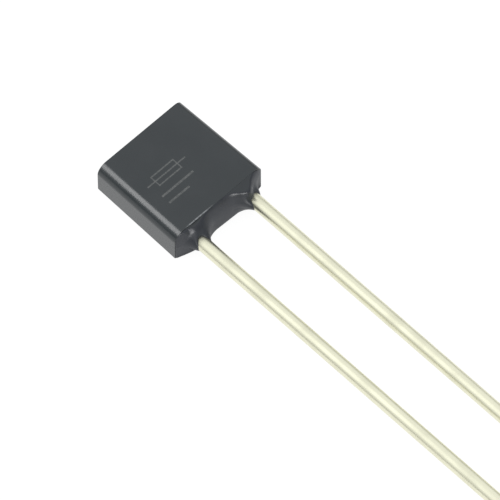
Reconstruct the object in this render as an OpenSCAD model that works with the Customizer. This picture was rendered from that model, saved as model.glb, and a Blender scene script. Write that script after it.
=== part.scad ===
// Radial thermal fuse: a moulded case, potted with resin at its open end, from which two leads run.
// Inside, a fusible link joins the leads' coined ends within a bead of flux.
// X runs along the leads to their free ends, Y runs across them and Z is up.
// The origin is the centre of the flat contact face below the case.

/* [Case] */
// Width of the case at its open end
case_w = 9.5; // [8.6:0.1:14]
// Length of the case along the leads
case_len = 8.9; // [8:0.1:16]
// Thickness of the case at its open end
case_t = 3.2; // [2.8:0.1:5]
// Thickness of the side, upper and lower walls
wall = 0.6; // [0.4:0.05:0.75]
// Thickness of the closed end
end_wall = 0.7; // [0.4:0.05:1.2]
// Radius along the two long upper edges
edge_r = 0.8; // [0.3:0.05:1.2]
// Draft of the sides and of the upper face, in degrees
draft = 0.9; // [0:0.1:1.5]
// Break round the closed end's edges
end_break = 0.12; // [0.05:0.01:0.25]

/* [Leads] */
// Diameter of the lead wire
lead_d = 1.2; // [0.9:0.05:1.4]
// Distance from the axis of either lead to the side of the case at its open end
lead_inset = 1.9; // [1.6:0.05:2.4]
// Length of the leads from the case's open end to their tips
lead_len = 38; // [10:1:80]
// Chamfer round the cut tips
tip_chamfer = 0.1; // [0.05:0.01:0.2]
// Thickness of the stretch that is coined flat to anchor it in the resin
coin_t = 0.9; // [0.8:0.05:1.1]
// Length of the shoulder between the coined stretch and the round wire
coin_shoulder = 0.3; // [0.2:0.05:0.4]
// Reach of the coined stretch past the resin's nose, short of the resin's climb
coin_reach = 0.35; // [0.2:0.05:0.4]
// Space between the leads' inner ends and the closed end
end_gap = 0.8; // [0.4:0.1:1.5]

/* [Fusible link and flux] */
// Diameter of the fusible alloy link
link_d = 0.9; // [0.5:0.05:1]
// Distance from the leads' inner ends to the axis of the link
link_inset = 0.55; // [0.5:0.05:0.6]
// Clearance between the flux bead and the walls of the case
flux_gap = 0.08; // [0.05:0.01:0.2]

/* [Sealing resin] */
// Depth of the resin inside the case
resin_depth = 3.4; // [2:0.1:4.2]
// Rise of the resin past the open end, midway between the leads
resin_nose = 0.65; // [0.4:0.05:1.2]
// Extra rise of the resin for each millimetre towards the left lead
resin_lean = 0.04; // [-0.08:0.01:0.08]
// Height above the contact face at which the resin is fullest
resin_belly = 1.1; // [0.8:0.05:1.6]
// Exponent of the resin's section, from a soft dome to a square front
resin_squareness = 4; // [2:0.5:6]
// Distance from either side of the case over which the resin rises in full
resin_ramp = 1.5; // [0.8:0.1:1.6]
// Further climb of the resin up each lead
resin_climb = 0.8; // [0.5:0.05:1]
// Distance from a lead over which that climb dies away
climb_reach = 0.4; // [0.3:0.05:0.6]
// Border of bare rim left round the resin
rim_border = 0.1; // [0.05:0.01:0.2]

/* [Hidden] */
$fn = 64;

// Steps round a quarter circle, and across and up the resin's surface
arc_steps = 8;
resin_columns = 40;
resin_rows = 10;

// Places along the leads, with the open end at rim_x
rim_x = case_len / 2;
cavity_depth = case_len - end_wall;
lead_inner_x = rim_x - cavity_depth + end_gap;
link_x = lead_inner_x + link_inset;
tip_x = rim_x + lead_len;

// Places across the leads and above the contact face
lead_y = case_w / 2 - lead_inset;
lead_z = thickness_at(case_len) / 2;

// Coining keeps the section of the wire
coin_w = PI * lead_d ^ 2 / 4 / coin_t;

// The bead of flux stays clear of the case at its narrow end
flux_r = lead_z - wall - flux_gap;
flux_half_w = width_at(case_len) / 2 - wall - flux_gap;

inner_r = max(edge_r - wall, wall / 4);

// Edge of the resin on the rim of the case
seal_r = edge_r - rim_border;
seal_low = rim_border;
seal_high = case_t - rim_border;

// Outer width and thickness of the case at a distance behind its open end
function width_at(depth) = case_w - 2 * depth * tan(draft);
function thickness_at(depth) = case_t - depth * tan(draft);

// Quarter circle of points round a centre, from a start angle
function quarter(centre, r, start) = [
    for (i = [0:arc_steps])
        let (a = start + 90 * i / arc_steps)
        centre + r * [cos(a), sin(a)]
];

// Outline with a flat base and two rounded upper corners
function loaf(w, t, r) = concat(
    [[-w / 2, 0], [w / 2, 0]],
    quarter([w / 2 - r, t - r], r, 0),
    quarter([r - w / 2, t - r], r, 90)
);

// Half the width of the resin's edge at a height above the contact face
function seal_half_w(z) =
    let (above = max(0, z - seal_high + seal_r))
    case_w / 2 - rim_border - seal_r + sqrt(max(0, seal_r ^ 2 - above ^ 2));

// Rise of the resin past the open end, before it climbs the leads
function nose_at(y) = resin_nose + resin_lean * y;

// Share of the full climb at a distance from the axis of a lead
function climb_at(y, z) = exp(-max(0, norm([y, z - lead_z]) - lead_d / 2) / climb_reach);

// Share of the full rise, which falls to nothing at the resin's edge
function fullness_at(y, z) =
    let (side = min(1, (seal_half_w(z) - abs(y)) / resin_ramp))
    let (limit = z > resin_belly ? seal_high : seal_low)
    let (level = (z - resin_belly) / (limit - resin_belly))
    sin(90 * side) * (1 - level ^ resin_squareness);

function rise_at(y, z) =
    fullness_at(y, z) * (nose_at(y) + resin_climb * (climb_at(y - lead_y, z) + climb_at(y + lead_y, z)));

// Heights of the rows of points on the resin's surface, closer together round its upper corners
seal_rows = concat(
    [for (j = [0:resin_rows]) seal_low + (seal_high - seal_r - seal_low) * j / resin_rows],
    [for (j = [1:arc_steps]) seal_high - seal_r + seal_r * sin(90 * j / arc_steps)]
);

// Drafted block with the case's outline, drawn in by a wall, between two distances behind the open end
module drafted(far, near, inset, r) {
    w = width_at(far) - 2 * inset;
    t = thickness_at(far) - 2 * inset;
    growth = [(width_at(near) - 2 * inset) / w, (thickness_at(near) - 2 * inset) / t];
    translate([rim_x - far, 0, inset])
        rotate([90, 0, 90])
            linear_extrude(far - near, scale = growth, slices = 1)
                polygon(loaf(w, t, r));
}

// Broken edges of the closed end
module closed_end() {
    w = width_at(case_len - end_break);
    t = thickness_at(case_len - end_break);
    translate([rim_x - case_len + end_break, 0, t / 2])
        mirror([1, 0, 0])
            rotate([90, 0, 90])
                linear_extrude(end_break, scale = [1 - 2 * end_break / w, 1 - 2 * end_break / t], slices = 1)
                    translate([0, -t / 2])
                        polygon(loaf(w, t, edge_r));
}

// Inside of the case, cut a little past the open end
module cavity() {
    drafted(cavity_depth, -wall, wall, inner_r);
}

module case() {
    color("#33363a")
        difference() {
            union() {
                drafted(case_len - end_break, 0, 0, edge_r);
                closed_end();
            }
            cavity();
        }
}

// Curved front of the resin, lifted off the plane of the open end
module meniscus() {
    columns = resin_columns;
    rows = len(seal_rows) - 1;
    function at(j, i) = j * (columns + 1) + i;
    surface = [
        for (z = seal_rows, i = [0:columns])
            let (y = (2 * i / columns - 1) * seal_half_w(z))
            [rise_at(y, z), y, z]
    ];
    middle = len(surface);
    front = [
        for (j = [0:rows - 1], i = [0:columns - 1])
            let (a = at(j, i), b = at(j + 1, i), c = at(j + 1, i + 1), d = at(j, i + 1))
            let (rising = (i < columns / 2) == (j < rows / 2))
            each rising ? [[a, b, c], [a, c, d]] : [[a, b, d], [b, c, d]]
    ];
    edge = concat(
        [for (i = [0:columns - 1]) at(0, i)],
        [for (j = [0:rows - 1]) at(j, columns)],
        [for (i = [columns:-1:1]) at(rows, i)],
        [for (j = [rows:-1:1]) at(j, 0)]
    );
    back = [for (k = [0:len(edge) - 1]) [middle, edge[k], edge[(k + 1) % len(edge)]]];
    translate([rim_x, 0, 0])
        polyhedron(concat(surface, [[0, 0, resin_belly]]), concat(front, back));
}

module sealing_resin() {
    color("#1b1c20")
        difference() {
            union() {
                intersection() {
                    cavity();
                    translate([rim_x - resin_depth, -case_w / 2, 0])
                        cube([resin_depth, case_w, case_t]);
                }
                meniscus();
            }
            lead(lead_y);
            lead(-lead_y);
        }
}

// Round wire, coined flat from its inner end to where it leaves the resin
module lead(y) {
    coin_end = rim_x + nose_at(y) + coin_reach;
    translate([0, y, lead_z]) {
        translate([lead_inner_x, -coin_w / 2, -coin_t / 2])
            cube([coin_end - lead_inner_x, coin_w, coin_t]);
        rotate([0, 90, 0]) {
            translate([0, 0, coin_end - coin_shoulder])
                cylinder(d1 = lead_d - 2 * coin_shoulder, d2 = lead_d, h = coin_shoulder);
            translate([0, 0, coin_end])
                cylinder(d = lead_d, h = tip_x - tip_chamfer - coin_end);
            translate([0, 0, tip_x - tip_chamfer])
                cylinder(d1 = lead_d, d2 = lead_d - 2 * tip_chamfer, h = tip_chamfer);
        }
    }
}

module lead_left() {
    color("#c9c6b4") lead(lead_y);
}

module lead_right() {
    color("#c9c6b4") lead(-lead_y);
}

// Alloy bar between the facing edges of the coined leads
module fusible_link() {
    span = 2 * lead_y - coin_w;
    color("#9a9ca0")
        translate([link_x, span / 2, lead_z])
            rotate([90, 0, 0])
                cylinder(d = link_d, h = span);
}

// Round-ended bead about the link and the leads' inner ends
module flux() {
    end = flux_half_w - flux_r;
    color("#b8862f")
        difference() {
            translate([link_x, 0, lead_z])
                rotate([90, 0, 0])
                    rotate_extrude()
                        polygon(concat(
                            quarter([0, -end], flux_r, -90),
                            quarter([0, end], flux_r, 0)
                        ));
            fusible_link();
            lead(lead_y);
            lead(-lead_y);
        }
}

case();
sealing_resin();
lead_left();
lead_right();
fusible_link();
flux();
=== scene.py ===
import math
import bmesh
import bpy
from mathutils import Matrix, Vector


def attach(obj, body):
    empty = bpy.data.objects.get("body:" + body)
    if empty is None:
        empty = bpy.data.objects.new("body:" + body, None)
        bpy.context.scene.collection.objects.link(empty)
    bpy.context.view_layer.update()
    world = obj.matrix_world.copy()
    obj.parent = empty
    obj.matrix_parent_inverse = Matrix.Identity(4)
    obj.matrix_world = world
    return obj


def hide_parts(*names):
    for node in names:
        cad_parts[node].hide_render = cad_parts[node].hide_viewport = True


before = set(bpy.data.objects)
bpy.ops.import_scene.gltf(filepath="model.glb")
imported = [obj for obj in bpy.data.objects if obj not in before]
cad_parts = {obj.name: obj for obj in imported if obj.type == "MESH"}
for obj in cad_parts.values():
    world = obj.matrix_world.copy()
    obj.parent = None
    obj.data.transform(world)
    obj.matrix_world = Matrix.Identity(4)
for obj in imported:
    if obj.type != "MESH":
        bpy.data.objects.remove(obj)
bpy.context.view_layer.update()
mm = 0.001
print("frame loaded, nodes:", sorted(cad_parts))


def clearSelection():
    if bpy.context.mode != "OBJECT":
        bpy.ops.object.mode_set(mode="OBJECT")
    bpy.ops.object.select_all(action="DESELECT")


# names the new primitive, puts its place in its mesh and opens it for editing
def openPiece(name):
    piece = bpy.context.active_object
    piece.name = name
    piece.data.name = name
    bpy.ops.object.transform_apply(location=True, rotation=True, scale=True)
    bpy.ops.object.mode_set(mode="EDIT")
    return piece


# selects the vertices, edges or faces that a rule is true for
def pick(piece, kind, rule):
    bpy.ops.mesh.select_mode(type=kind)
    bpy.ops.mesh.select_all(action="DESELECT")
    mesh = bmesh.from_edit_mesh(piece.data)
    mesh.normal_update()
    parts = {"VERT": mesh.verts, "EDGE": mesh.edges, "FACE": mesh.faces}[kind]
    for part in parts:
        if rule(part):
            part.select_set(True)
    bmesh.update_edit_mesh(piece.data)


def bothEnds(edge, rule):
    return rule(edge.verts[0].co) and rule(edge.verts[1].co)


def runsAlongX(edge):
    step = edge.verts[1].co - edge.verts[0].co
    return abs(step.x) > 0.99 * step.length


# an edge of the open end with the outside of the case on one side
def isOuter(edge):
    middle = (edge.verts[0].co + edge.verts[1].co) / 2
    for face in edge.link_faces:
        centre = face.calc_center_median()
        outward = centre - Vector((0, 0, caseMould["height"] / 2)) * mm
        if face.normal.x < 0.5 and face.normal.dot(outward) > 0:
            return middle.x > 0
    return False


def extrudeX(distance):
    bpy.ops.mesh.extrude_region_move(TRANSFORM_OT_translate={"value": (distance, 0, 0)})


# closes the edit, turns the faces outwards and shades the piece
def closePiece(piece, smoothAngle):
    bpy.ops.mesh.select_mode(type="VERT")
    bpy.ops.mesh.select_all(action="SELECT")
    bpy.ops.mesh.remove_doubles(threshold=1e-7)
    bpy.ops.mesh.normals_make_consistent(inside=False)
    clearSelection()
    piece.select_set(True)
    bpy.context.view_layer.objects.active = piece
    bpy.ops.object.shade_smooth_by_angle(angle=math.radians(smoothAngle))


# evens the shading so that flat faces stay flat between their soft edges
def evenNormals(piece):
    bpy.ops.object.modifier_add(type="WEIGHTED_NORMAL")
    piece.modifiers[-1].keep_sharp = True
    bpy.ops.object.modifier_apply(modifier=piece.modifiers[-1].name)


def settle(piece, node):
    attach(piece, "root")
    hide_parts(node)
    print("piece ready:", piece.name, len(piece.data.polygons), "faces")


# one output in a node tree, with sums written as plain expressions
class Flow:
    def __init__(self, tree, socket=None):
        self.tree = tree
        self.socket = socket

    def node(self, kind, settings, inputs, output=0):
        made = self.tree.nodes.new(kind)
        for key, setting in settings.items():
            if key == "stops":
                self.setStops(made.color_ramp, setting)
            else:
                setattr(made, key, setting)
        for key, value in inputs.items():
            if isinstance(value, Flow):
                self.tree.links.new(value.socket, made.inputs[key])
            else:
                made.inputs[key].default_value = value
        return Flow(self.tree, made.outputs[output])

    def setStops(self, ramp, stops):
        while len(ramp.elements) < len(stops):
            ramp.elements.new(0.5)
        for element, (place, shade) in zip(ramp.elements, stops):
            element.position = place
            element.color = shade

    def maths(self, operation, first, second):
        return self.node("ShaderNodeMath", {"operation": operation}, {0: first, 1: second})

    def __add__(self, other):
        return self.maths("ADD", self, other)

    def __radd__(self, other):
        return self.maths("ADD", other, self)

    def __sub__(self, other):
        return self.maths("SUBTRACT", self, other)

    def __rsub__(self, other):
        return self.maths("SUBTRACT", other, self)

    def __mul__(self, other):
        return self.maths("MULTIPLY", self, other)

    def __rmul__(self, other):
        return self.maths("MULTIPLY", other, self)

    def __abs__(self):
        return self.maths("ABSOLUTE", self, 0)

    def least(self, other):
        return self.maths("MINIMUM", self, other)

    def most(self, other):
        return self.maths("MAXIMUM", self, other)

    # 0 below the first value, 1 above the second, soft between
    def fade(self, first, second):
        settings = {"interpolation_type": "SMOOTHSTEP"}
        return self.node("ShaderNodeMapRange", settings, {0: self, 1: first, 2: second, 3: 0, 4: 1})

    def blendColour(self, first, second):
        return self.node("ShaderNodeMix", {"data_type": "RGBA"}, {0: self, 6: first, 7: second}, 2)

    def noise(self, scale, detail, grain=0.5):
        inputs = {"Vector": self, "Scale": scale, "Detail": detail, "Roughness": grain}
        return self.node("ShaderNodeTexNoise", {}, inputs)

    def stretched(self, x, y, z):
        return self.node("ShaderNodeMapping", {}, {"Vector": self, "Scale": (x, y, z)})

    def parts(self):
        return [self.node("ShaderNodeSeparateXYZ", {}, {0: self}, i) for i in range(3)]


# a new material, its shader, and the place on the piece in millimetres
def newFinish(name):
    material = bpy.data.materials.new(name)
    material.use_nodes = True
    tree = material.node_tree
    shader = tree.nodes["Principled BSDF"]
    place = Flow(tree).node("ShaderNodeTexCoord", {}, {}, "Object")
    place = place.stretched(1000, 1000, 1000)
    return material, shader, place


def feed(shader, socket, flow):
    flow.tree.links.new(flow.socket, shader.inputs[socket])


def roughen(shader, height, distance, strength):
    inputs = {"Height": height, "Distance": distance * mm, "Strength": strength}
    feed(shader, "Normal", height.node("ShaderNodeBump", {}, inputs))


# camera, as the photograph was taken: a long lens, looking down at the part
cameraView = {
    "target": (8.02, 0.02, 0.0),
    "azimuth": 45.5,
    "elevation": 59.0,
    "distance": 600,
    "field": 39.38,           # width of the picture at the target
    "sensor": 36,
    "clip": (0.01, 20),       # in metres
}


def makeCamera(view):
    turn = math.radians(view["azimuth"])
    lift = math.radians(view["elevation"])
    back = Vector((math.sin(turn) * math.cos(lift), -math.cos(turn) * math.cos(lift), math.sin(lift)))
    lens = bpy.data.cameras.new("long_lens")
    lens.sensor_width = view["sensor"]
    lens.lens = view["sensor"] * view["distance"] / view["field"]
    lens.clip_start, lens.clip_end = view["clip"]
    camera = bpy.data.objects.new("camera", lens)
    camera.location = (Vector(view["target"]) + back * view["distance"]) * mm
    camera.rotation_euler = (math.pi / 2 - lift, 0, turn)
    bpy.context.scene.collection.objects.link(camera)
    bpy.context.scene.camera = camera


makeCamera(cameraView)
print("camera set")

# studio: a white table, a room that is brighter above, and a soft box for each group of pieces
studio = {
    "tableSize": 6.0,
    "tableShade": (0.13, 0.13, 0.13, 1),
    "tableRoughness": 0.9,
    "tableShine": 0.1,
    "tableGlow": 0.93,
    "paintedShadowBelow": {           # the painted shadow below the part, with the place of each soft edge
        "shade": (0.05, 0.05, 0.05, 1),
        "closedEnd": (-4.4, -4.1),
        "openEnd": (4.45, 4.95),
        "nearSide": (-4.66, -4.36),
        "farSide": (4.46, 6.46),
        "half": 4.66,
        "bulge": (0.1, 0.37, 0.58),  # of its open end: at the sides, its slope, at most
    },
    "boxes": [                # name, what it lights, place, width, depth, power
        ("side_box", "case", (-184, -207, 390), 170, 340, 0.90),
        ("low_box", "resin", (446, -150, 60), 160, 240, 1.05),
        ("lead_box", "leads", (-184, -185, 428), 250, 420, 0.13),
    ],
    "roomStops": [
        (0.0, (0.40, 0.40, 0.39, 1)),
        (0.12, (0.42, 0.42, 0.41, 1)),
        (0.33, (0.72, 0.73, 0.73, 1)),
        (0.58, (0.98, 0.99, 1.0, 1)),
    ],
    "roomStrength": 1.04,
}


def makeTable(settings):
    clearSelection()
    bpy.ops.mesh.primitive_plane_add(size=settings["tableSize"], location=(0, 0, 0))
    table = bpy.context.active_object
    table.name = "table"
    material, shader, place = newFinish("white_table")
    shader.inputs["Base Color"].default_value = settings["tableShade"]
    shader.inputs["Roughness"].default_value = settings["tableRoughness"]
    shader.inputs["Specular IOR Level"].default_value = settings["tableShine"]
    x, y = place.parts()[:2]
    dark = settings["paintedShadowBelow"]
    atSides, slope, atMost = dark["bulge"]
    bulge = (atSides + slope * (dark["half"] - abs(y))).least(atMost)
    # a painted shadow in the table's glow below the part
    below = x.fade(*dark["closedEnd"]) * (1 - (x - bulge).fade(*dark["openEnd"]))
    below = below * y.fade(*dark["nearSide"]) * (1 - y.fade(*dark["farSide"]))
    # only reflections show this painted shadow
    seen = place.node("ShaderNodeLightPath", {}, {}, "Is Camera Ray")
    below = below * (1 - seen)
    feed(shader, "Emission Color", below.blendColour((1, 1, 1, 1), dark["shade"]))
    shader.inputs["Emission Strength"].default_value = settings["tableGlow"]
    table.data.materials.append(material)


def makeRoom(settings):
    room = bpy.data.worlds.new("room")
    room.use_nodes = True
    bpy.context.scene.world = room
    tree = room.node_tree
    up = Flow(tree).node("ShaderNodeTexCoord", {}, {}, "Generated").parts()[2]
    shade = up.node("ShaderNodeValToRGB", {"stops": settings["roomStops"]}, {0: up})
    seen = up.node("ShaderNodeLightPath", {}, {}, "Is Camera Ray")
    shade = seen.blendColour(shade, (1, 1, 1, 1))
    background = tree.nodes["Background"]
    tree.links.new(shade.socket, background.inputs["Color"])
    background.inputs["Strength"].default_value = settings["roomStrength"]


# a soft box that points at the part and lights only the pieces it is given
def makeSoftBox(name, lit, place, width, depth, power):
    light = bpy.data.lights.new(name, "AREA")
    light.shape = "RECTANGLE"
    light.size = width * mm
    light.size_y = depth * mm
    light.energy = power
    box = bpy.data.objects.new(name, light)
    box.location = Vector(place) * mm
    aim = Vector(place).normalized()
    box.rotation_euler = (-math.asin(aim.y), math.atan2(aim.x, aim.z), 0)
    box.visible_camera = False
    bpy.context.scene.collection.objects.link(box)
    group = bpy.data.collections.new(name + "_lights")
    for piece in lit:
        group.objects.link(piece)
    box.light_linking.receiver_collection = group


makeTable(studio)
makeRoom(studio)
bpy.context.scene.view_settings.view_transform = "Standard"
print("table and room made")

# the moulded cup, open towards the leads
caseMould = {
    "length": 8.9,
    "width": 9.5,             # at the open end
    "height": 3.2,            # at the open end
    "taper": 0.1398,          # draft of each side over the length
    "crowns": {-1: 0.95, 1: 0.75},  # radius of the long upper edge on either side
    "crownSteps": 14,
    "wall": 0.6,
    "depth": 8.2,
    "floorShare": (0.97, 0.95),  # width and height of the opening's floor, as shares of its mouth
    "footBreak": 0.05,
    "endBreak": 0.03,
    "lipBreak": 0.012,
    "breakSteps": 3,
    "smoothAngle": 40,
}


def makeCase(mould):
    length = mould["length"] * mm
    width = mould["width"] * mm
    height = mould["height"] * mm
    taper = mould["taper"] * mm
    tiny = 0.001 * mm
    nearSide = 0.45 * width - taper
    steps = mould["breakSteps"]
    clearSelection()
    bpy.ops.mesh.primitive_cube_add(size=1, location=(0, 0, height / 2), scale=(length, width, height))
    piece = openPiece("moulded_case")
    # the closed end is narrower and lower
    pick(piece, "VERT", lambda v: v.co.x < 0)
    bpy.ops.transform.resize(value=(1, 1 - 2 * taper / width, 1), center_override=(0, 0, 0))
    pick(piece, "VERT", lambda v: v.co.x < 0 and v.co.z > height / 2)
    bpy.ops.transform.translate(value=(0, 0, -taper))
    # two round upper edges
    for side, crown in mould["crowns"].items():
        pick(piece, "EDGE", lambda e: runsAlongX(e)
             and bothEnds(e, lambda p: p.z > height / 2 and p.y * side > nearSide))
        bpy.ops.mesh.bevel(offset=crown * mm, segments=mould["crownSteps"], profile=0.5)
    # the opening
    pick(piece, "FACE", lambda f: f.normal.x > 0.99)
    bpy.ops.mesh.inset(thickness=mould["wall"] * mm)
    extrudeX(-mould["depth"] * mm)
    bpy.ops.transform.resize(value=(1, *mould["floorShare"]), center_override=(0, 0, height / 2))
    # two broken lower edges
    pick(piece, "EDGE", lambda e: runsAlongX(e) and bothEnds(e, lambda p: p.z < tiny))
    bpy.ops.mesh.bevel(offset=mould["footBreak"] * mm, segments=steps, profile=0.5)
    # soft edges round the closed end and the lip
    pick(piece, "EDGE", lambda e: bothEnds(e, lambda p: p.x < tiny - length / 2))
    bpy.ops.mesh.bevel(offset=mould["endBreak"] * mm, segments=steps, profile=0.5)
    pick(piece, "EDGE", lambda e: bothEnds(e, lambda p: p.x > length / 2 - tiny) and isOuter(e))
    bpy.ops.mesh.bevel(offset=mould["lipBreak"] * mm, segments=steps, profile=0.5)
    closePiece(piece, mould["smoothAngle"])
    evenNormals(piece)
    settle(piece, "case")
    return piece


# one lead: flat where the resin holds it, then round wire to the cut tip
leadWire = {
    "across": 2.85,           # of each lead from the middle of the case
    "radius": 0.6,
    "height": 1.5301,
    "start": -2.95,
    "coinHeight": 0.9,
    "coinWidth": 1.257,
    "coinEnd": 4.2,
    "shoulder": 0.4,
    "tip": 42.45,
    "tipBreak": 0.1,
    "breakSteps": 3,
    "sides": 72,
    "smoothAngle": 40,
}


def makeLead(wire, name, node, y):
    radius = wire["radius"] * mm
    axis = Vector((wire["start"], y, wire["height"])) * mm
    clearSelection()
    bpy.ops.mesh.primitive_circle_add(vertices=wire["sides"], radius=radius, fill_type="NGON",
                                      location=axis, rotation=(0, math.pi / 2, 0))
    piece = openPiece(name)
    flatten = (1, wire["coinWidth"] * mm / radius / 2, wire["coinHeight"] * mm / radius / 2)
    bpy.ops.transform.resize(value=flatten, center_override=axis)
    extrudeX((wire["coinEnd"] - wire["start"]) * mm)
    extrudeX(wire["shoulder"] * mm)
    bpy.ops.transform.resize(value=(1, 1 / flatten[1], 1 / flatten[2]), center_override=axis)
    extrudeX((wire["tip"] - wire["coinEnd"] - wire["shoulder"]) * mm)
    nearTip = (wire["tip"] - 0.01) * mm
    pick(piece, "EDGE", lambda e: bothEnds(e, lambda p: p.x > nearTip))
    bpy.ops.mesh.bevel(offset=wire["tipBreak"] * mm, segments=wire["breakSteps"], profile=0.5)
    closePiece(piece, wire["smoothAngle"])
    settle(piece, node)
    return piece


# the potted resin: fills the opening, bulges past the rim and climbs the leads
resinFill = {
    "rim": 4.45,
    "depth": 3.4,
    "plugShare": (0.888, 0.615),  # width and height behind the rim, as shares of the outline
    "plugMiddle": 1.72,
    "bore": (4, 12),          # for each lead: its middle and its length
    "halfWidth": 4.70,        # outline on the rim
    "low": 0.03,
    "high": 3.188,
    "corner": 0.90,
    "dip": (-2.6, 0.14, 1.1),  # lower stretch of its upper edge: place, depth, half length
    "columns": 230,
    "rows": 84,
    "rowPower": 1.5,          # rows lie closer together towards the upper edge
    "nose": 0.66,             # bulge midway between the leads, at the height of the nose
    "noseHeight": 0.75,
    "lean": 0.04,             # it is fuller towards one lead
    "rake": 0.13,             # its front leans back
    "frontCorner": 0.2,
    "ends": [(0.16, 0.37), (0.03, 0.38)],  # on either side, its start at the rim and its slope
    "endsFade": (1.7, 2.7),   # heights between which that start goes to nothing
    "swellHeight": (1.4, 2.0),  # heights between which it starts to swell below a shelf
    "swellPlace": 0.91,       # as a share of the lead's place across
    "swellHalf": 0.9,
    "belly": 1.1,             # height below which it curves back to its foot
    "footPower": (14, 4),     # how square the foot is, outside the leads and between them
    "footBlend": (2.2, 3.4),  # places across between which it changes
    "topSlope": 0.68,         # how fast the bulge rises from the upper edge
    "topPower": 0.8,
    "topCorner": 0.5,
    "steep": (3.4, 3.9),      # places on the near side between which it rises faster
    "steepSlope": 2,
    "shelfDepth": 0.8,
    "spreadHeight": (0.7, 1.4),  # heights between which a sleeve's spread changes
    "collar": (0.05, 0.06),   # the thin rise round a lead: its height and width
    "skin": 0.004,            # least height over the rim
    "topFeather": 0.015,      # how soon the bulge starts inside its outline
    "sideFeather": 0.06,
    "smoothAngle": 50,
}
# the sleeve of resin on each lead: its place across and its length over the lead,
# its length and its low and high spread on the inner flank, its length and spread on the outer flank,
# how it is drawn upwards, the shelf over it with its place, length and slope,
# its half widths inwards and outwards and how square it is, and the swelling of the front below it
resinSleeves = [
    {"y": leadWire["across"], "over": 0.75, "inner": (1.75, 1.15, 1.15), "outer": (1.2, 0.3),
     "lift": 0.8, "shelf": (2.35, 1.37, 0.1), "half": (0.82, 0.8), "power": 2.2, "bulge": 0.6},
    {"y": -leadWire["across"], "over": 0.8, "inner": (1.55, 1.9, 1.5), "outer": (1.3, 0.3),
     "lift": 0.8, "shelf": (-2.95, 0.8, 0.1), "half": (0.5, 0.44), "power": 1.8, "bulge": 0.0},
]


# 0 at the first value, 1 at the second, straight between
def ramp(value, first, second):
    return max(0.0, min(1.0, (value - first) / (second - first)))


def resinOutline(fill, z):
    above = max(0.0, z - fill["high"] + fill["corner"])
    return fill["halfWidth"] - fill["corner"] + math.sqrt(max(0.0, fill["corner"] ** 2 - above ** 2))


# height of its upper edge on the rim
def resinTop(fill, y):
    place, depth, half = fill["dip"]
    return fill["high"] - depth * math.exp(-((y - place) / half) ** 2)


# the smaller of two values, with a soft corner between them
def softLeast(first, second, corner):
    mix = max(0.0, min(1.0, 0.5 + 0.5 * (second - first) / corner))
    return second + (first - second) * mix - corner * mix * (1 - mix)


# how far the resin stands out from the rim
def resinRise(fill, y, z):
    edge = max(0.0, resinOutline(fill, z) - abs(y))
    under = max(0.0, resinTop(fill, y) - z)
    front = fill["nose"] + fill["lean"] * y - fill["rake"] * (z - fill["noseHeight"])
    start, slope = fill["ends"][int(y > 0)]
    start *= 1 - ramp(z, *fill["endsFade"])
    rise = softLeast(front, start + slope * edge, fill["frontCorner"])
    swell = ramp(z, *fill["swellHeight"])
    for sleeve in resinSleeves:
        away = (y - fill["swellPlace"] * sleeve["y"]) / fill["swellHalf"]
        rise += sleeve["bulge"] * swell * math.exp(-away ** 2)
    if z < fill["belly"]:
        level = (fill["belly"] - z) / (fill["belly"] - fill["low"])
        outside, between = fill["footPower"]
        power = between + (outside - between) * ramp(abs(y), *fill["footBlend"])
        rise *= 1 - level ** power
    steep = fill["steepSlope"] * ramp(-y, *fill["steep"])
    limit = (fill["topSlope"] + steep) * under ** fill["topPower"]
    for sleeve in resinSleeves:
        limit += shelfRise(fill, sleeve, y, under, limit)
    rise = softLeast(rise, limit, fill["topCorner"])
    rise += sum(sleeveRise(fill, sleeve, y, z, rise) for sleeve in resinSleeves)
    feather = ramp(under, 0, fill["topFeather"]) * ramp(edge, 0, fill["sideFeather"])
    return fill["skin"] + max(0.0, rise) * feather


# what the sleeve on a lead adds to the resin's front
def sleeveRise(fill, sleeve, y, z, front):
    radius = leadWire["radius"]
    inwards = (sleeve["y"] - y) * math.copysign(1, sleeve["y"])
    upwards = z - leadWire["height"]
    drawn = upwards * (sleeve["lift"] if upwards > 0 else 1)
    away = max(math.hypot(inwards, drawn), radius)
    gap = away - radius
    share = 0.5 + 0.5 * inwards / away
    share = share * share * (3 - 2 * share)
    innerLength, lowSpread, highSpread = sleeve["inner"]
    innerSpread = lowSpread + (highSpread - lowSpread) * ramp(z, *fill["spreadHeight"])
    outerLength, outerSpread = sleeve["outer"]
    length = outerLength + (innerLength - outerLength) * share
    over = max(0.0, upwards) / max(math.hypot(inwards, upwards), radius)
    length += (sleeve["over"] - length) * over ** 2
    inner = max(0.0, 1 - gap / innerSpread) ** 2
    outer = math.exp(-(gap / outerSpread) ** 2)
    collarRise, collarWidth = fill["collar"]
    collar = collarRise * math.exp(-gap / collarWidth)
    return max(0.0, length - front) * (outer + (inner - outer) * share) + collar


# what the shelf over a lead adds to the limit below the upper edge
def shelfRise(fill, sleeve, y, under, limit):
    place, length, slope = sleeve["shelf"]
    inwards = (place - y) * math.copysign(1, place)
    half = sleeve["half"][0 if inwards > 0 else 1]
    depth = ramp(under, 0, fill["shelfDepth"])
    power = sleeve["power"]
    shelf = length * (1 - (1 - depth) ** power) ** (1 / power) + slope * under
    return (shelf - limit) * math.exp(-(inwards / half) ** 2)


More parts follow.
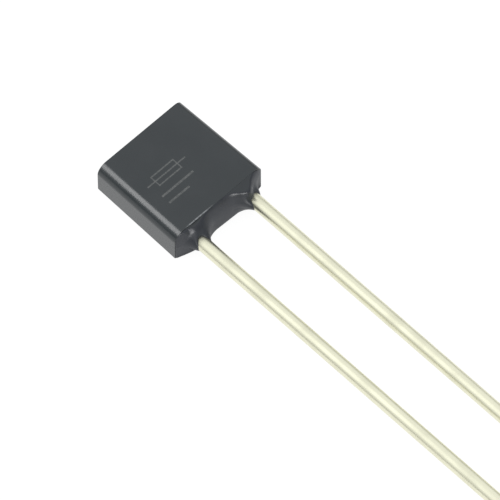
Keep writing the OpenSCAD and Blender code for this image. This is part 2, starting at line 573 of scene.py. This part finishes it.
def makeResin(fill):
    low = fill["low"]
    tall = fill["high"] - low
    clearSelection()
    bpy.ops.mesh.primitive_grid_add(x_subdivisions=fill["columns"], y_subdivisions=fill["rows"], size=1,
                                    rotation=(math.pi / 2, 0, math.pi / 2))
    piece = openPiece("sealing_resin_fill")
    mesh = bmesh.from_edit_mesh(piece.data)
    for vert in mesh.verts:
        upward = min(1.0, vert.co.z + 0.5)
        z = low + tall * (1 - (1 - upward) ** fill["rowPower"])
        y = 2 * vert.co.y * resinOutline(fill, z)
        z = low + (z - low) * (resinTop(fill, y) - low) / tall
        vert.co = Vector((fill["rim"] + resinRise(fill, y, z), y, z)) * mm
    bmesh.update_edit_mesh(piece.data)
    # the plug behind the rim
    pick(piece, "EDGE", lambda e: len(e.link_faces) == 1)
    extrudeX(0)
    middle = Vector((fill["rim"], 0, fill["plugMiddle"])) * mm
    bpy.ops.transform.resize(value=(1, *fill["plugShare"]), center_override=middle)
    extrudeX(-fill["depth"] * mm)
    bpy.ops.mesh.edge_face_add()
    closePiece(piece, fill["smoothAngle"])
    for sleeve in resinSleeves:
        boreLead(piece, fill, sleeve["y"])
    settle(piece, "sealing_resin")
    return piece


# the hole that a lead leaves in the resin
def boreLead(piece, fill, y):
    middle, length = fill["bore"]
    clearSelection()
    bpy.ops.mesh.primitive_cylinder_add(vertices=leadWire["sides"], radius=leadWire["radius"] * mm,
                                        depth=length * mm, rotation=(0, math.pi / 2, 0),
                                        location=(middle * mm, y * mm, leadWire["height"] * mm))
    cutter = bpy.context.active_object
    clearSelection()
    piece.select_set(True)
    bpy.context.view_layer.objects.active = piece
    bpy.ops.object.modifier_add(type="BOOLEAN")
    cut = piece.modifiers[-1]
    cut.operation = "DIFFERENCE"
    cut.solver = "EXACT"
    cut.object = cutter
    bpy.ops.object.modifier_apply(modifier=cut.name)
    bpy.ops.object.shade_smooth_by_angle(angle=math.radians(fill["smoothAngle"]))
    bpy.data.objects.remove(cutter)


mouldedCase = makeCase(caseMould)
leftLead = makeLead(leadWire, "left_lead_wire", "lead_left", leadWire["across"])
rightLead = makeLead(leadWire, "right_lead_wire", "lead_right", -leadWire["across"])
resinPlug = makeResin(resinFill)

# each box lights one group, so that its highlights are set apart from the others
lightGroups = {"case": [mouldedCase], "resin": [resinPlug], "leads": [leftLead, rightLead]}
for boxName, litGroup, *boxShape in studio["boxes"]:
    makeSoftBox(boxName, lightGroups[litGroup], *boxShape)
print("studio lit")

# satin black moulding, marked with the plain sign for a fuse and two bars
casePlastic = {
    "shade": (0.0095, 0.0145, 0.0175, 1),
    "sheenShade": (0.0125, 0.0175, 0.0205, 1),
    "markShade": (0.10, 0.104, 0.102, 1),
    "lipHighlightShade": (0.20, 0.21, 0.22, 1),
    "roughness": 0.2,
    "ior": 1.57,
    "bump": (0.012, 0.5),     # height and strength of the grain
    "markHeight": (2.9, 2.95),
    "barEdge": 0.03,
    "lipHighlight": {                 # the painted highlight along the lip, with the place of each soft edge
        "x": (4.33, 4.37),
        "z": (3.08, 3.13),
        "near": (-3.6, -2.9),
        "far": (-1.6, -0.2),
    },
    "bars": [                 # centre x, centre y, half length, half width
        (-0.85, -1.00, 1.25, 0.06),
        (0.15, -1.00, 1.25, 0.06),
        (-0.35, -2.20, 0.05, 0.55),
        (-0.35, 0.20, 0.05, 0.55),
        (-0.35, -1.00, 2.05, 0.06),
        (1.05, -1.10, 1.70, 0.09),
        (1.85, -1.70, 1.10, 0.09),
    ],
}


def paintCase(piece, look):
    material, shader, place = newFinish("satin_black_moulding")
    x, y, z = place.parts()
    # marking, laser burnt and a little broken up
    mark = None
    soft = look["barEdge"]
    for centreX, centreY, halfLength, halfWidth in look["bars"]:
        along = 1 - abs(y - centreY).fade(halfLength - soft, halfLength + soft)
        across = 1 - abs(x - centreX).fade(halfWidth - soft, halfWidth + soft)
        bar = along * across
        mark = bar if mark is None else mark.most(bar)
    broken = place.noise(9, 3).fade(0.35, 0.62)
    mark = mark * z.fade(*look["markHeight"]) * (0.35 + 0.5 * broken)
    cloud = place.noise(0.35, 3).fade(0.35, 0.7)
    shade = cloud.blendColour(look["shade"], look["sheenShade"])
    shade = mark.blendColour(shade, look["markShade"])
    # a painted highlight along the lip over one lead, broken up
    edges = look["lipHighlight"]
    lipHighlight = x.fade(*edges["x"]) * z.fade(*edges["z"]) * y.fade(*edges["near"]) * (1 - y.fade(*edges["far"]))
    shade = (lipHighlight * (0.4 + 0.6 * broken)).blendColour(shade, look["lipHighlightShade"])
    feed(shader, "Base Color", shade)
    grain = place.noise(14, 4, 0.6)
    shader.inputs["IOR"].default_value = look["ior"]
    feed(shader, "Roughness", look["roughness"] + 0.06 * (grain - 0.5) + 0.04 * cloud + 0.1 * mark)
    roughen(shader, grain + 0.5 * place.noise(4, 2), *look["bump"])
    piece.data.materials.append(material)


# epoxy as it cured, glossy along its upper edge and satin below
sealingEpoxy = {
    "shade": (0.012, 0.015, 0.021, 1),
    "hazeShade": (0.015, 0.018, 0.025, 1),
    "upFacingLightShade": (0.020, 0.025, 0.029, 1),
    "roughness": 0.27,
    "satin": 0.14,            # rougher by this much below the upper edge
    "satinHeight": (2.5, 2.7),
    "upFacingSlope": (0.75, 0.95),  # how far up it faces where it is painted lighter
    "ior": 1.48,
    "bump": (0.02, 0.35),     # height and strength of the ripple
}


def paintResin(piece, look):
    material, shader, place = newFinish("glossy_black_epoxy")
    haze = place.noise(0.8, 3).fade(0.4, 0.75)
    # painted light: a little lighter where it faces up
    facing = place.node("ShaderNodeNewGeometry", {}, {}, "Normal").parts()[2]
    shade = haze.blendColour(look["shade"], look["hazeShade"])
    feed(shader, "Base Color", facing.fade(*look["upFacingSlope"]).blendColour(shade, look["upFacingLightShade"]))
    lower = 1 - place.parts()[2].fade(*look["satinHeight"])
    feed(shader, "Roughness", look["roughness"] + 0.1 * haze + look["satin"] * lower)
    shader.inputs["IOR"].default_value = look["ior"]
    ripple = place.noise(1.6, 2) + 0.1 * place.noise(12, 2)
    roughen(shader, ripple, *look["bump"])
    piece.data.materials.append(material)


# drawn copper wire with a bright tin coat, bare copper at the cut
tinnedWire = {
    "shade": (0.81, 0.80, 0.625, 1),
    "dullShade": (0.76, 0.75, 0.585, 1),
    "copperShade": (0.72, 0.36, 0.2, 1),
    "filmShade": (0.10, 0.10, 0.095, 1),
    "filmStarts": (5.15, 5.3),  # where the film on the left and the right lead starts to fade
    "filmLength": 0.8,
    "filmHeight": (0.1, 0.5),   # above the axis
    "filmCover": 0.6,
    "coreEdge": (0.23, 0.26),   # of the bare copper, squared distance from the axis
    "roughness": 0.27,
    "bump": (0.01, 0.3),        # height and strength of the drawn lines
}


def paintLead(piece, look, y, filmStart):
    material, shader, place = newFinish(piece.name + "_tin")
    placeX, placeY, placeZ = place.parts()
    drawn = place.stretched(0.12, 5, 5).noise(1, 3)
    dull = place.noise(0.55, 4).fade(0.4, 0.75)
    sideways = placeY - y
    upwards = placeZ - leadWire["height"]
    fromAxis = sideways * sideways + upwards * upwards
    atTip = placeX.fade(leadWire["tip"] - 0.02, leadWire["tip"] - 0.01)
    core = atTip * (1 - fromAxis.fade(*look["coreEdge"]))
    tin = dull.blendColour(look["shade"], look["dullShade"])
    # a thin film of resin fades out along the top of the wire
    uneven = placeX + 0.2 * place.noise(3, 3)
    film = 1 - uneven.fade(filmStart, filmStart + look["filmLength"])
    film = film * upwards.fade(*look["filmHeight"])
    tin = (look["filmCover"] * film).blendColour(tin, look["filmShade"])
    feed(shader, "Base Color", core.blendColour(tin, look["copperShade"]))
    shader.inputs["Metallic"].default_value = 1
    feed(shader, "Roughness", look["roughness"] + 0.08 * dull + 0.06 * drawn + 0.15 * core)
    roughen(shader, drawn + 0.15 * place.noise(7, 3), *look["bump"])
    piece.data.materials.append(material)


# the two pieces sealed inside keep their solids
sealedInside = {
    "alloyShade": (0.50, 0.50, 0.52, 1),
    "alloyDull": (0.36, 0.36, 0.38, 1),
    "alloyRoughness": 0.35,
    "fluxShade": (0.45, 0.23, 0.05, 1),
    "fluxPale": (0.58, 0.36, 0.12, 1),
    "fluxRoughness": 0.15,
    "uneven": 0.2,            # how much rougher both are in patches
}


def setMaterial(node, material):
    for place in node.material_slots:
        place.material = material


def paintInside(look):
    material, shader, place = newFinish("fusible_alloy")
    dull = place.noise(2.5, 4).fade(0.35, 0.7)
    feed(shader, "Base Color", dull.blendColour(look["alloyShade"], look["alloyDull"]))
    feed(shader, "Roughness", look["alloyRoughness"] + look["uneven"] * dull)
    shader.inputs["Metallic"].default_value = 1
    setMaterial(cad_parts["fusible_link"], material)
    material, shader, place = newFinish("amber_flux")
    pale = place.noise(1.4, 3).fade(0.3, 0.75)
    feed(shader, "Base Color", pale.blendColour(look["fluxShade"], look["fluxPale"]))
    feed(shader, "Roughness", look["fluxRoughness"] + look["uneven"] * pale)
    setMaterial(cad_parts["flux"], material)


paintCase(mouldedCase, casePlastic)
paintResin(resinPlug, sealingEpoxy)
leftStart, rightStart = tinnedWire["filmStarts"]
paintLead(leftLead, tinnedWire, leadWire["across"], leftStart)
paintLead(rightLead, tinnedWire, -leadWire["across"], rightStart)
paintInside(sealedInside)
print("finishes on")
